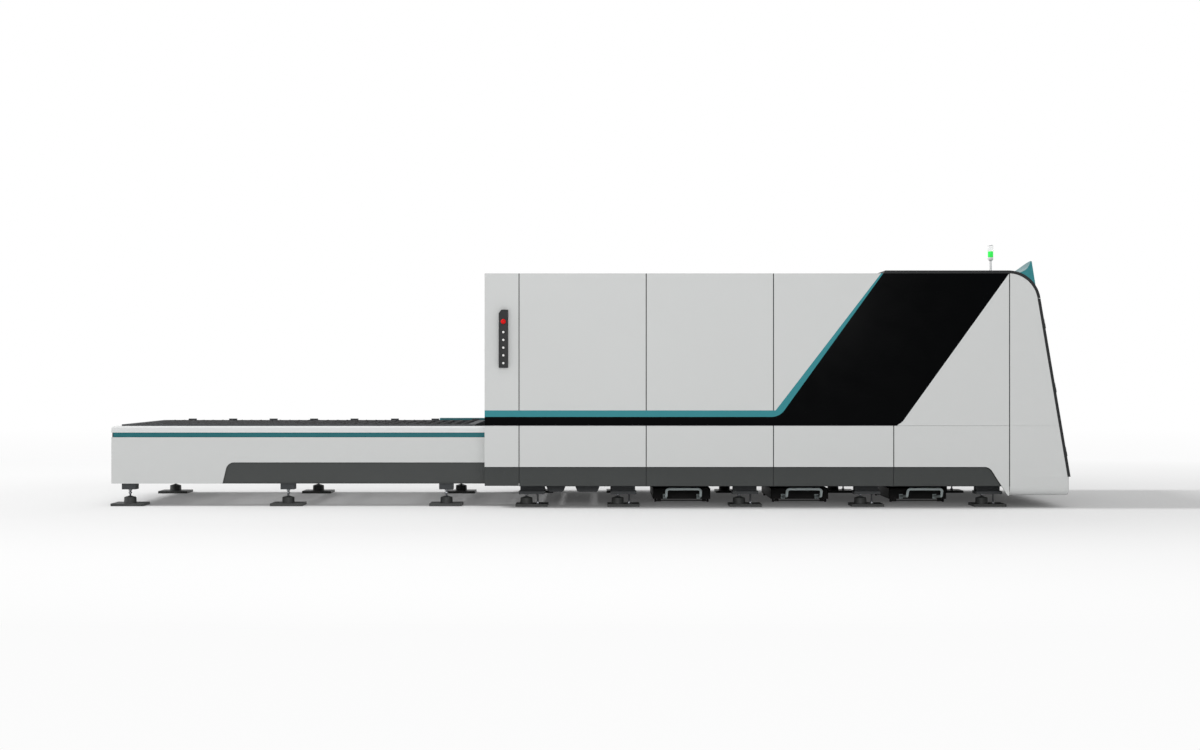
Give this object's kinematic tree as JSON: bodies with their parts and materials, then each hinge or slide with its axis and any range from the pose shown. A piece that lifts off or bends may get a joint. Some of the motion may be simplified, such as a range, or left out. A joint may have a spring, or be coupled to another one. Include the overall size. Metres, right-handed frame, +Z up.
{
  "type": "fiber laser cutting machine",
  "caption": "Enclosed sheet-metal laser cutting machine with a pallet exchange table, moving gantry, sloped operator front with hinged doors and roll-out scrap carts.",
  "frame": {"origin": "on the floor, on the machine's centre plane, midway between the exchange table's end and the operator end", "axes": "+X towards the operator end, +Y away from the side with the control box, +Z up"},
  "size_m": [9.211, 2.837, 2.554],
  "materials": {
    "light_panel": "satin light grey paint",
    "rail_cap": "satin light grey paint",
    "enclosure_teal": "satin teal paint",
    "table_teal": "satin teal paint",
    "skirt_grey": "satin dark grey paint",
    "black_paint": "satin black paint",
    "band_black": "glossy black",
    "cap_grey": "satin dark grey paint",
    "bed_grey": "satin grey paint",
    "slat_steel": "dark rolled steel",
    "zinc_steel": "zinc plated steel",
    "plate_steel": "dark painted steel",
    "wheel_dark": "matt dark nylon",
    "cabinet_grey": "textured light grey paint",
    "handle_grey": "satin light grey paint",
    "box_dark": "satin dark grey paint",
    "pallet_grey": "satin dark grey paint",
    "red_plastic": "glossy red",
    "button_silver": "polished",
    "lamp_plastic": "glossy translucent"
  },
  "bodies": {
    "machine": {"floor_plates": "plate_steel", "levelling_feet": "zinc_steel", "bed_frame": "bed_grey", "gantry_rails": "zinc_steel", "scrap_hoppers": "black_paint", "pallet_rails": "bed_grey", "table_frame": "plate_steel", "table_panels": "light_panel", "kick_panels": "skirt_grey", "table_trim": "table_teal", "rail_caps": "rail_cap", "exchange_drive": "plate_steel", "enclosure_frame": "bed_grey", "laser_source": "cabinet_grey", "electrical_cabinet": "cabinet_grey", "upper_panels": "light_panel", "window_bands": "band_black", "teal_stripes": "enclosure_teal", "lower_panels": "light_panel", "skirts": "skirt_grey", "end_wall": "light_panel", "roof_panels": "light_panel", "roof_cap": "cap_grey", "crest": "enclosure_teal", "front_cheeks": "light_panel", "front_frame": "cap_grey", "control_box": "box_dark", "tower_light": "lamp_plastic"},
    "upper_pallet": {"upper_pallet_frame": "pallet_grey", "upper_pallet_slats": "slat_steel"},
    "lower_pallet": {"lower_pallet_frame": "pallet_grey", "lower_pallet_slats": "slat_steel"},
    "upper_rear_wheels": {"upper_rear_wheels": "wheel_dark"},
    "upper_front_wheels": {"upper_front_wheels": "wheel_dark"},
    "lower_rear_wheels": {"lower_rear_wheels": "wheel_dark"},
    "lower_front_wheels": {"lower_front_wheels": "wheel_dark"},
    "drive_shaft": {"drive_shaft": "zinc_steel"},
    "idler_sprockets": {"idler_sprockets": "zinc_steel"},
    "gantry_pinions": {"gantry_pinions": "zinc_steel"},
    "carriage": {"carriage": "cabinet_grey"},
    "cutting_head": {"cutting_head": "button_silver"},
    "near_front_door": {"near_front_door": "light_panel"},
    "far_front_door": {"far_front_door": "light_panel"},
    "emergency_stop": {"emergency_stop": "red_plastic"},
    "gantry": {"gantry_beam": "bed_grey"},
    "button_1": {"button_1": "button_silver"},
    "button_2": {"button_2": "button_silver"},
    "button_3": {"button_3": "button_silver"},
    "button_4": {"button_4": "button_silver"},
    "button_5": {"button_5": "button_silver"},
    "cart_1": {"cart_1": "black_paint"},
    "cart_1_front_wheels": {"cart_1_front_wheels": "wheel_dark"},
    "cart_1_rear_wheels": {"cart_1_rear_wheels": "wheel_dark"},
    "cart_2": {"cart_2": "black_paint"},
    "cart_2_front_wheels": {"cart_2_front_wheels": "wheel_dark"},
    "cart_2_rear_wheels": {"cart_2_rear_wheels": "wheel_dark"},
    "cart_3": {"cart_3": "black_paint"},
    "cart_3_front_wheels": {"cart_3_front_wheels": "wheel_dark"},
    "cart_3_rear_wheels": {"cart_3_rear_wheels": "wheel_dark"}
  },
  "joints": [
    {"name": "upper_pallet_travel", "type": "slide", "parent": "machine", "child": "upper_pallet", "axis": [1, 0, 0], "range_m": [0, 4.93]},
    {"name": "lower_pallet_travel", "type": "slide", "parent": "machine", "child": "lower_pallet", "axis": [1, 0, 0], "range_m": [-4.93, 0]},
    {"name": "upper_rear_wheels_roll", "type": "hinge", "parent": "upper_pallet", "child": "upper_rear_wheels", "pos_m": [-4.124, 0, 0.64], "axis": [0, 1, 0], "range_deg": [-20, 6298]},
    {"name": "upper_front_wheels_roll", "type": "hinge", "parent": "upper_pallet", "child": "upper_front_wheels", "pos_m": [-1.51, 0, 0.64], "axis": [0, 1, 0], "range_deg": [-20, 6298]},
    {"name": "lower_rear_wheels_roll", "type": "hinge", "parent": "lower_pallet", "child": "lower_rear_wheels", "pos_m": [0.806, 0, 0.39], "axis": [0, 1, 0], "range_deg": [-6298, 20]},
    {"name": "lower_front_wheels_roll", "type": "hinge", "parent": "lower_pallet", "child": "lower_front_wheels", "pos_m": [3.42, 0, 0.39], "axis": [0, 1, 0], "range_deg": [-6298, 20]},
    {"name": "drive_shaft_spin", "type": "hinge", "parent": "machine", "child": "drive_shaft", "pos_m": [3.925, 0, 0.515], "axis": [0, 1, 0], "range_deg": [-20, 2280]},
    {"name": "idler_spin", "type": "hinge", "parent": "machine", "child": "idler_sprockets", "pos_m": [-4.42, 0, 0.515], "axis": [0, 1, 0], "range_deg": [-20, 2280]},
    {"name": "gantry_travel", "type": "slide", "parent": "machine", "child": "gantry", "axis": [1, 0, 0], "range_m": [0, 3.3]},
    {"name": "pinion_spin", "type": "hinge", "parent": "gantry", "child": "gantry_pinions", "pos_m": [0.18, 0, 0.9903], "axis": [0, 1, 0], "range_deg": [-20, 5929]},
    {"name": "carriage_travel", "type": "slide", "parent": "gantry", "child": "carriage", "axis": [0, 1, 0], "range_m": [-0.78, 0.78]},
    {"name": "head_travel", "type": "slide", "parent": "carriage", "child": "cutting_head", "axis": [0, 0, 1], "range_m": [-0.26, 0]},
    {"name": "near_door_hinge", "type": "hinge", "parent": "machine", "child": "near_front_door", "pos_m": [4.47586, -1.318, 1.1465], "axis": [0.1662, 0, -0.9861], "range_deg": [0, 100]},
    {"name": "far_door_hinge", "type": "hinge", "parent": "machine", "child": "far_front_door", "pos_m": [4.47586, 1.318, 1.1465], "axis": [-0.1662, 0, 0.9861], "range_deg": [0, 100]},
    {"name": "emergency_stop_press", "type": "slide", "parent": "machine", "child": "emergency_stop", "axis": [0, 1, 0], "range_m": [0, 0.006]},
    {"name": "button_1_press", "type": "slide", "parent": "machine", "child": "button_1", "axis": [0, 1, 0], "range_m": [0, 0.004], "stiffness_N_per_m": 400, "springref_m": -0.002},
    {"name": "button_2_press", "type": "slide", "parent": "machine", "child": "button_2", "axis": [0, 1, 0], "range_m": [0, 0.004], "stiffness_N_per_m": 400, "springref_m": -0.002},
    {"name": "button_3_press", "type": "slide", "parent": "machine", "child": "button_3", "axis": [0, 1, 0], "range_m": [0, 0.004], "stiffness_N_per_m": 400, "springref_m": -0.002},
    {"name": "button_4_press", "type": "slide", "parent": "machine", "child": "button_4", "axis": [0, 1, 0], "range_m": [0, 0.004], "stiffness_N_per_m": 400, "springref_m": -0.002},
    {"name": "button_5_press", "type": "slide", "parent": "machine", "child": "button_5", "axis": [0, 1, 0], "range_m": [0, 0.004], "stiffness_N_per_m": 400, "springref_m": -0.002},
    {"name": "cart_1_roll_out", "type": "slide", "parent": "machine", "child": "cart_1", "axis": [0, -1, 0], "range_m": [0, 1.98]},
    {"name": "cart_1_front_wheels_roll", "type": "hinge", "parent": "cart_1", "child": "cart_1_front_wheels", "pos_m": [0.941, -0.5, 0.015], "axis": [1, 0, 0], "range_deg": [-20, 7584]},
    {"name": "cart_1_rear_wheels_roll", "type": "hinge", "parent": "cart_1", "child": "cart_1_rear_wheels", "pos_m": [0.941, 0.5, 0.015], "axis": [1, 0, 0], "range_deg": [-20, 7584]},
    {"name": "cart_2_roll_out", "type": "slide", "parent": "machine", "child": "cart_2", "axis": [0, -1, 0], "range_m": [0, 1.98]},
    {"name": "cart_2_front_wheels_roll", "type": "hinge", "parent": "cart_2", "child": "cart_2_front_wheels", "pos_m": [2.115, -0.5, 0.015], "axis": [1, 0, 0], "range_deg": [-20, 7584]},
    {"name": "cart_2_rear_wheels_roll", "type": "hinge", "parent": "cart_2", "child": "cart_2_rear_wheels", "pos_m": [2.115, 0.5, 0.015], "axis": [1, 0, 0], "range_deg": [-20, 7584]},
    {"name": "cart_3_roll_out", "type": "slide", "parent": "machine", "child": "cart_3", "axis": [0, -1, 0], "range_m": [0, 1.98]},
    {"name": "cart_3_front_wheels_roll", "type": "hinge", "parent": "cart_3", "child": "cart_3_front_wheels", "pos_m": [3.289, -0.5, 0.015], "axis": [1, 0, 0], "range_deg": [-20, 7584]},
    {"name": "cart_3_rear_wheels_roll", "type": "hinge", "parent": "cart_3", "child": "cart_3_rear_wheels", "pos_m": [3.289, 0.5, 0.015], "axis": [1, 0, 0], "range_deg": [-20, 7584]}
  ],
  "couplings": [
    {"joint": "lower_pallet_travel", "follows": "upper_pallet_travel", "ratio": -1},
    {"joint": "upper_rear_wheels_roll", "follows": "upper_pallet_travel", "rad_per_m": 22.222},
    {"joint": "upper_front_wheels_roll", "follows": "upper_pallet_travel", "rad_per_m": 22.222},
    {"joint": "lower_rear_wheels_roll", "follows": "upper_pallet_travel", "rad_per_m": -22.222},
    {"joint": "lower_front_wheels_roll", "follows": "upper_pallet_travel", "rad_per_m": -22.222},
    {"joint": "drive_shaft_spin", "follows": "upper_pallet_travel", "rad_per_m": 8},
    {"joint": "idler_spin", "follows": "upper_pallet_travel", "rad_per_m": 8},
    {"joint": "pinion_spin", "follows": "gantry_travel", "rad_per_m": 31.25},
    {"joint": "cart_1_front_wheels_roll", "follows": "cart_1_roll_out", "rad_per_m": 66.667},
    {"joint": "cart_1_rear_wheels_roll", "follows": "cart_1_roll_out", "rad_per_m": 66.667},
    {"joint": "cart_2_front_wheels_roll", "follows": "cart_2_roll_out", "rad_per_m": 66.667},
    {"joint": "cart_2_rear_wheels_roll", "follows": "cart_2_roll_out", "rad_per_m": 66.667},
    {"joint": "cart_3_front_wheels_roll", "follows": "cart_3_roll_out", "rad_per_m": 66.667},
    {"joint": "cart_3_rear_wheels_roll", "follows": "cart_3_roll_out", "rad_per_m": 66.667}
  ]
}
